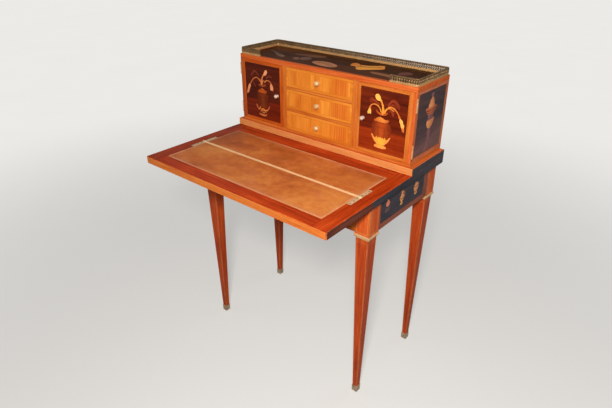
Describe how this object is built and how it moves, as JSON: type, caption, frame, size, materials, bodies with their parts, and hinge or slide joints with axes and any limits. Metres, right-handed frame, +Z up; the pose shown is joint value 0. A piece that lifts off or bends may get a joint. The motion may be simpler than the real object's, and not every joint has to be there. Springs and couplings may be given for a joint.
{
  "type": "writing desk",
  "caption": "Lady's writing desk on tapering legs, with a fold-over leather-lined flap and a small cabinet of drawers between two cupboards, topped by a pierced gallery.",
  "frame": {"origin": "on the floor, under the middle of the desk's outline with the flap open", "axes": "+X to the sitter's right, -Y towards the sitter, +Z up"},
  "size_m": [0.716, 0.603, 1.026],
  "materials": {
    "leg_veneer": "french polished orange-red veneer with light stringing",
    "frieze_marquetry": "dark stained panel with light inlaid vases and reddish bands",
    "frieze_veneer": "french polished reddish veneer",
    "carcase_oak": "plain waxed oak",
    "mahogany": "french polished red mahogany",
    "plinth_veneer": "french polished salmon-orange veneer, dark at the ends",
    "cabinet_veneer": "french polished orange banding",
    "side_marquetry": "dark panel with an inlaid urn and orange bands",
    "top_marquetry": "dark veneer with light inlaid objects",
    "door_marquetry": "rosewood with inlaid urn and flowers, orange band",
    "drawer_veneer": "satinwood with fluted inlay",
    "knob_bronze": "dull bronze",
    "knob_brass": "polished pale brass",
    "writing_leather": "worn tan hide with a tooled border",
    "strip_brass": "polished brass",
    "mount_brass": "worn gilt brass",
    "gallery_brass": "aged brass",
    "hinge_brass": "aged brass",
    "fastener_brass": "aged brass"
  },
  "bodies": {
    "desk": {"leg_front_left": "leg_veneer", "leg_front_right": "leg_veneer", "leg_rear_left": "leg_veneer", "leg_rear_right": "leg_veneer", "leg_collars": "mount_brass", "leg_sabots": "mount_brass", "apron_left": "frieze_marquetry", "apron_right": "frieze_marquetry", "apron_back": "frieze_veneer", "front_rail_lower": "frieze_veneer", "front_rail_upper": "frieze_veneer", "front_stiles": "frieze_veneer", "drawer_runners": "carcase_oak", "loper_guides": "carcase_oak", "desk_top": "mahogany", "leather_rear": "writing_leather", "seam_strip_rear": "strip_brass", "flap_hinge_rear_leaves": "hinge_brass", "flap_hinge_pins": "fastener_brass", "rear_hinge_screws": "fastener_brass", "plinth_board": "plinth_veneer", "cabinet_base": "cabinet_veneer", "cabinet_top": "top_marquetry", "cabinet_side_left": "side_marquetry", "cabinet_side_right": "side_marquetry", "cabinet_back": "carcase_oak", "cabinet_partitions": "cabinet_veneer", "drawer_dividers": "cabinet_veneer", "gallery_back": "gallery_brass", "gallery_sides": "gallery_brass", "gallery_front_returns": "gallery_brass", "door_hinge_frame_leaves": "hinge_brass", "door_hinge_pins": "fastener_brass"},
    "flap": {"flap_board": "mahogany", "leather_flap": "writing_leather", "seam_strip_flap": "strip_brass", "flap_hinge_front_leaves": "hinge_brass", "flap_hinge_screws": "fastener_brass"},
    "frieze_drawer": {"frieze_drawer_front": "frieze_veneer", "frieze_drawer_box": "carcase_oak", "frieze_drawer_knob": "knob_bronze"},
    "loper_left": {"loper_left": "carcase_oak", "loper_left_knob": "knob_brass"},
    "loper_right": {"loper_right": "carcase_oak", "loper_right_knob": "knob_brass"},
    "small_drawer_1": {"small_drawer_1_front": "drawer_veneer", "small_drawer_1_box": "carcase_oak", "small_drawer_1_knob": "knob_bronze"},
    "small_drawer_2": {"small_drawer_2_front": "drawer_veneer", "small_drawer_2_box": "carcase_oak", "small_drawer_2_knob": "knob_bronze"},
    "small_drawer_3": {"small_drawer_3_front": "drawer_veneer", "small_drawer_3_box": "carcase_oak", "small_drawer_3_knob": "knob_bronze"},
    "door_left": {"door_left_leaf": "door_marquetry", "door_left_knob": "knob_brass", "door_left_hinge_leaves": "hinge_brass"},
    "door_right": {"door_right_leaf": "door_marquetry", "door_right_knob": "knob_brass", "door_right_hinge_leaves": "hinge_brass"}
  },
  "joints": [
    {"name": "flap_fold", "type": "hinge", "parent": "desk", "child": "flap", "pos_m": [0, -0.1005, 0.7503], "axis": [-1, 0, 0], "range_deg": [0, 180]},
    {"name": "frieze_drawer_slide", "type": "slide", "parent": "desk", "child": "frieze_drawer", "axis": [0, -1, 0], "range_m": [0, 0.25]},
    {"name": "loper_left_slide", "type": "slide", "parent": "desk", "child": "loper_left", "axis": [0, 1, 0], "range_m": [0, 0.15]},
    {"name": "loper_right_slide", "type": "slide", "parent": "desk", "child": "loper_right", "axis": [0, 1, 0], "range_m": [0, 0.15]},
    {"name": "small_drawer_1_slide", "type": "slide", "parent": "desk", "child": "small_drawer_1", "axis": [0, -1, 0], "range_m": [0, 0.13]},
    {"name": "small_drawer_2_slide", "type": "slide", "parent": "desk", "child": "small_drawer_2", "axis": [0, -1, 0], "range_m": [0, 0.13]},
    {"name": "small_drawer_3_slide", "type": "slide", "parent": "desk", "child": "small_drawer_3", "axis": [0, -1, 0], "range_m": [0, 0.13]},
    {"name": "door_left_swing", "type": "hinge", "parent": "desk", "child": "door_left", "pos_m": [-0.3444, 0.1133, 0.885], "axis": [0, 0, -1], "range_deg": [0, 110]},
    {"name": "door_right_swing", "type": "hinge", "parent": "desk", "child": "door_right", "pos_m": [0.3444, 0.1133, 0.885], "axis": [0, 0, 1], "range_deg": [0, 110]}
  ]
}
